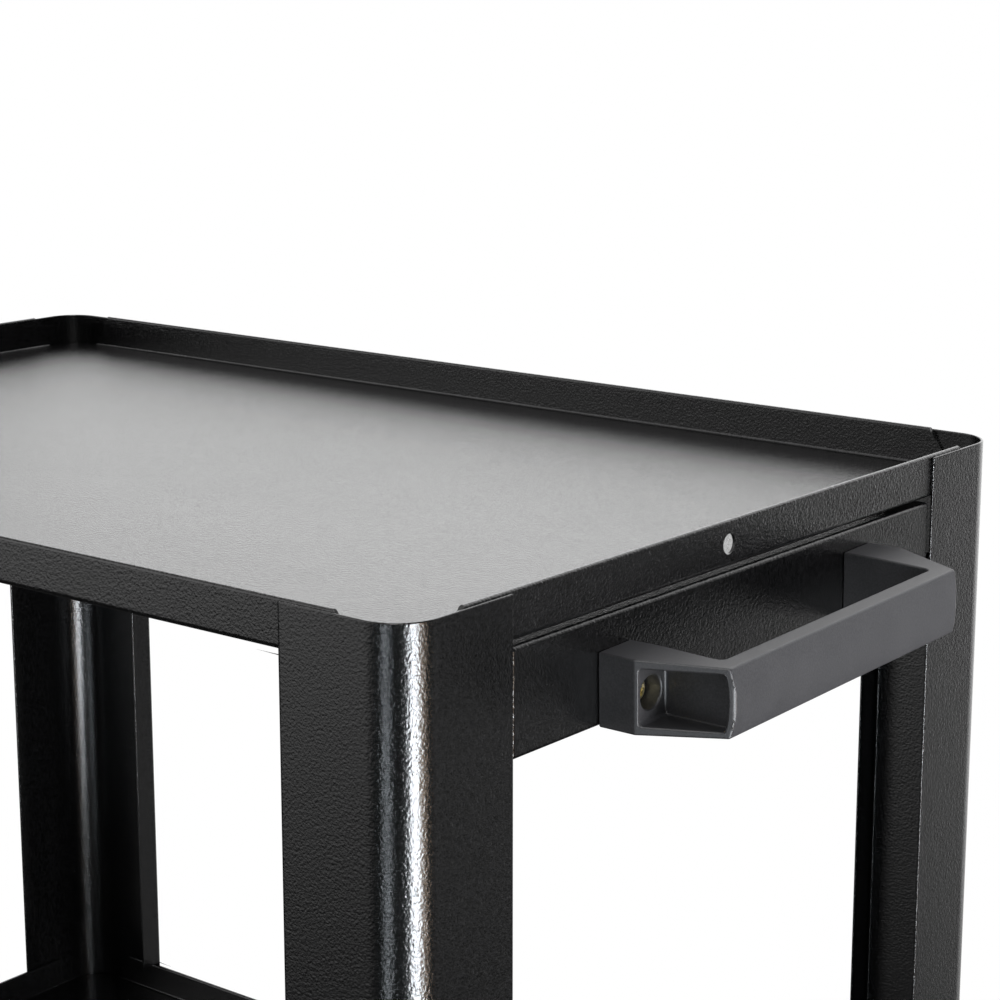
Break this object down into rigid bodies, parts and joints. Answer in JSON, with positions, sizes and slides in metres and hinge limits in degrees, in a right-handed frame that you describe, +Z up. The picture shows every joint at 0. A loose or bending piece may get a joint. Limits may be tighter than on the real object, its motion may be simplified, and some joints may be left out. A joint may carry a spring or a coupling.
{
  "type": "rolling utility cart",
  "caption": "Open push cart: shallow lipped steel trays in angle posts, end handle on a panel, braked swivel casters and rigid casters.",
  "frame": {"origin": "on the floor, at the middle of the bottom of the object's box at rest", "axes": "+Z up; +X towards the handle end; +Y to the right of a person who stands at the handle and faces the cart"},
  "size_m": [0.6588, 0.41, 0.9648],
  "materials": {
    "tray_paint": "black textured powder coat, semi-gloss",
    "frame_paint": "black textured powder coat, semi-gloss",
    "handle_plastic": "moulded dark grey, fine matte grain",
    "yellow_zinc": "yellow passivated zinc",
    "bright_zinc": "bright zinc plate",
    "fork_zinc": "bright zinc plate on pressed steel",
    "tyre_rubber": "smooth grey-black rubber, matte",
    "wheel_plastic": "moulded black, satin",
    "pedal_plastic": "moulded black, satin"
  },
  "bodies": {
    "frame": {"top_tray": "tray_paint", "middle_tray": "tray_paint", "bottom_tray": "tray_paint", "post_rear_left": "frame_paint", "post_rear_right": "frame_paint", "post_front_left": "frame_paint", "post_front_right": "frame_paint", "end_panel": "frame_paint", "handle": "handle_plastic", "handle_screws": "yellow_zinc", "handle_washers": "bright_zinc", "handle_nuts": "bright_zinc", "rear_rail": "frame_paint", "front_rail": "frame_paint", "caster_bolts": "bright_zinc", "weld_nuts": "bright_zinc", "swivel_plate_left": "fork_zinc", "kingpin_left": "bright_zinc", "kingpin_nut_left": "bright_zinc", "rigid_fork_left": "fork_zinc", "front_bush_left": "bright_zinc", "front_axle_left": "bright_zinc", "front_axle_nut_left": "bright_zinc", "swivel_plate_right": "fork_zinc", "kingpin_right": "bright_zinc", "kingpin_nut_right": "bright_zinc", "rigid_fork_right": "fork_zinc", "front_bush_right": "bright_zinc", "front_axle_right": "bright_zinc", "front_axle_nut_right": "bright_zinc"},
    "swivel_left": {"swivel_fork_left": "fork_zinc", "race_balls_left": "bright_zinc", "pedal_pin_left": "bright_zinc", "rear_bush_left": "bright_zinc", "rear_axle_left": "bright_zinc", "rear_axle_nut_left": "bright_zinc"},
    "brake_left": {"brake_pedal_left": "pedal_plastic"},
    "rear_roller_left": {"rear_tyre_left": "tyre_rubber", "rear_wheel_left": "wheel_plastic"},
    "front_roller_left": {"front_tyre_left": "tyre_rubber", "front_wheel_left": "wheel_plastic"},
    "swivel_right": {"swivel_fork_right": "fork_zinc", "race_balls_right": "bright_zinc", "pedal_pin_right": "bright_zinc", "rear_bush_right": "bright_zinc", "rear_axle_right": "bright_zinc", "rear_axle_nut_right": "bright_zinc"},
    "brake_right": {"brake_pedal_right": "pedal_plastic"},
    "rear_roller_right": {"rear_tyre_right": "tyre_rubber", "rear_wheel_right": "wheel_plastic"},
    "front_roller_right": {"front_tyre_right": "tyre_rubber", "front_wheel_right": "wheel_plastic"}
  },
  "joints": [
    {"name": "swivel_turn_left", "type": "hinge", "parent": "frame", "child": "swivel_left", "pos_m": [0.2206, -0.145, 0.117], "axis": [0, 0, 1], "continuous": true},
    {"name": "rear_wheel_spin_left", "type": "hinge", "parent": "swivel_left", "child": "rear_roller_left", "pos_m": [0.1866, -0.145, 0.05], "axis": [0, 1, 0], "continuous": true},
    {"name": "brake_press_left", "type": "hinge", "parent": "swivel_left", "child": "brake_left", "pos_m": [0.1506, -0.145, 0.096], "axis": [0, -1, 0], "range_deg": [0, 24]},
    {"name": "front_wheel_spin_left", "type": "hinge", "parent": "frame", "child": "front_roller_left", "pos_m": [-0.2694, -0.145, 0.05], "axis": [0, 1, 0], "continuous": true},
    {"name": "swivel_turn_right", "type": "hinge", "parent": "frame", "child": "swivel_right", "pos_m": [0.2206, 0.145, 0.117], "axis": [0, 0, 1], "continuous": true},
    {"name": "rear_wheel_spin_right", "type": "hinge", "parent": "swivel_right", "child": "rear_roller_right", "pos_m": [0.1866, 0.145, 0.05], "axis": [0, 1, 0], "continuous": true},
    {"name": "brake_press_right", "type": "hinge", "parent": "swivel_right", "child": "brake_right", "pos_m": [0.1506, 0.145, 0.096], "axis": [0, -1, 0], "range_deg": [0, 24]},
    {"name": "front_wheel_spin_right", "type": "hinge", "parent": "frame", "child": "front_roller_right", "pos_m": [-0.2694, 0.145, 0.05], "axis": [0, 1, 0], "continuous": true}
  ]
}
